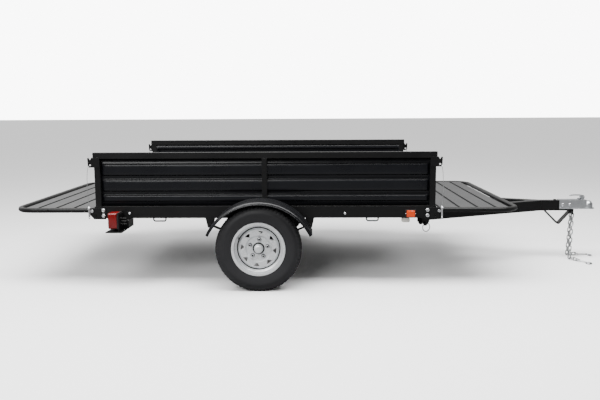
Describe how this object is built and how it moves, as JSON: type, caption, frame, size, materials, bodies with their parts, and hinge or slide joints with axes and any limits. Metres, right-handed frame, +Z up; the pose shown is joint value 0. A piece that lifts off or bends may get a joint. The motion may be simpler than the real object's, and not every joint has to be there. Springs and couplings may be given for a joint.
{
  "type": "single-axle utility trailer",
  "caption": "Low single-axle utility trailer with pressed steel side walls, a fold-up gate at each end, an A-frame tongue, ball coupler, safety chains and arched fenders.",
  "frame": {"origin": "on the ground, under the middle of the whole outline with both gates level, on the trailer's centre plane", "axes": "+X forward to the coupler, +Y to the trailer's left, +Z up"},
  "size_m": [4.0902, 1.9686, 0.8634],
  "materials": {
    "black_steel": "semi-gloss powder coat",
    "plank_steel": "powder coat with a fine anti-slip hatch",
    "wall_steel": "semi-gloss powder coat",
    "zinc": "bright zinc plating",
    "zinc_dull": "dull zinc plating",
    "galvanised": "galvanised, fine spangle",
    "tyre": "moulded rubber",
    "fender_plastic": "moulded, fine texture",
    "red_lens": "clear red acrylic",
    "amber_lens": "clear amber acrylic",
    "black_plastic": "moulded",
    "loom": "smooth PVC",
    "grey_plastic": "moulded",
    "coupler_zinc": "zinc plated pressing",
    "chain_zinc": "zinc plated wire",
    "wire_rope": "stranded, galvanised",
    "spring_steel": "black paint on rolled steel"
  },
  "bodies": {
    "frame": {"side_rail_right": "black_steel", "side_rail_left": "black_steel", "cross_members": "black_steel", "deck_floor": "plank_steel", "wall_panel_right": "wall_steel", "wall_panel_left": "wall_steel", "top_rails": "black_steel", "wall_posts": "black_steel", "latch_brackets": "black_steel", "corner_plates": "black_steel", "frame_bolts": "zinc", "fender_right": "fender_plastic", "fender_left": "fender_plastic", "fender_brackets": "black_steel", "tail_lamp_brackets": "black_steel", "tail_lamp_housings": "black_plastic", "tail_lamp_lenses": "red_lens", "marker_bases": "black_plastic", "marker_lenses": "amber_lens", "tie_down_loops": "black_steel", "tongue_members": "black_steel", "nose_beam": "black_steel", "tongue_brackets": "black_steel", "coupler_body": "coupler_zinc", "support_foot": "black_steel", "safety_chain_right": "chain_zinc", "safety_chain_left": "chain_zinc", "chain_hooks": "chain_zinc", "wiring_loom": "loom", "wiring_connector": "grey_plastic", "leaf_springs": "spring_steel", "spring_hangers": "black_steel", "gate_hinge_bolts": "zinc", "lanyard_rear_right": "wire_rope", "lanyard_rear_left": "wire_rope", "lanyard_front_right": "wire_rope", "lanyard_front_left": "wire_rope", "gate_pin_rear_right": "zinc", "gate_pin_rear_left": "zinc", "gate_pin_front_right": "zinc", "gate_pin_front_left": "zinc"},
    "rear_gate": {"gate_frame_rear": "black_steel", "gate_panel_rear": "plank_steel"},
    "front_gate": {"gate_frame_front": "black_steel", "gate_panel_front": "plank_steel"},
    "axle": {"axle_beam": "black_steel", "spring_clamps": "zinc_dull"},
    "right_wheel": {"tyre_right": "tyre", "rim_right": "galvanised", "hub_right": "galvanised", "lug_nuts_right": "zinc"},
    "left_wheel": {"tyre_left": "tyre", "rim_left": "galvanised", "hub_left": "galvanised", "lug_nuts_left": "zinc"},
    "lever": {"coupler_lever": "coupler_zinc"},
    "clamp": {"ball_clamp": "coupler_zinc"},
    "right_ring_pin": {"ring_pin_right": "black_steel"},
    "left_ring_pin": {"ring_pin_left": "black_steel"}
  },
  "joints": [
    {"name": "axle_travel", "type": "slide", "parent": "frame", "child": "axle", "axis": [0, 0, 1], "range_m": [-0.012, 0.02], "stiffness_N_per_m": 110000, "springref_m": -0.017, "deforming": ["leaf_springs"]},
    {"name": "right_wheel_spin", "type": "hinge", "parent": "axle", "child": "right_wheel", "pos_m": [-0.43664, -0.875, 0.27], "axis": [0, 1, 0], "continuous": true},
    {"name": "left_wheel_spin", "type": "hinge", "parent": "axle", "child": "left_wheel", "pos_m": [-0.43664, 0.875, 0.27], "axis": [0, 1, 0], "continuous": true},
    {"name": "rear_gate_fold", "type": "hinge", "parent": "frame", "child": "rear_gate", "pos_m": [-1.51014, 0, 0.49], "axis": [0, 1, 0], "range_deg": [0, 90]},
    {"name": "front_gate_fold", "type": "hinge", "parent": "frame", "child": "front_gate", "pos_m": [0.70286, 0, 0.49], "axis": [0, -1, 0], "range_deg": [0, 90]},
    {"name": "coupler_lever_lift", "type": "hinge", "parent": "frame", "child": "lever", "pos_m": [1.91836, 0, 0.4663], "axis": [0, 1, 0], "range_deg": [0, 70]},
    {"name": "ball_clamp_release", "type": "slide", "parent": "frame", "child": "clamp", "axis": [-1, 0, 0], "range_m": [0, 0.008]},
    {"name": "right_ring_pin_pull", "type": "slide", "parent": "frame", "child": "right_ring_pin", "axis": [0.4067, -0.9135, 0], "range_m": [0, 0.075]},
    {"name": "left_ring_pin_pull", "type": "slide", "parent": "frame", "child": "left_ring_pin", "axis": [0.4067, 0.9135, 0], "range_m": [0, 0.075]}
  ],
  "couplings": [
    {"joint": "ball_clamp_release", "follows": "coupler_lever_lift", "m_per_rad": 0.006542}
  ]
}
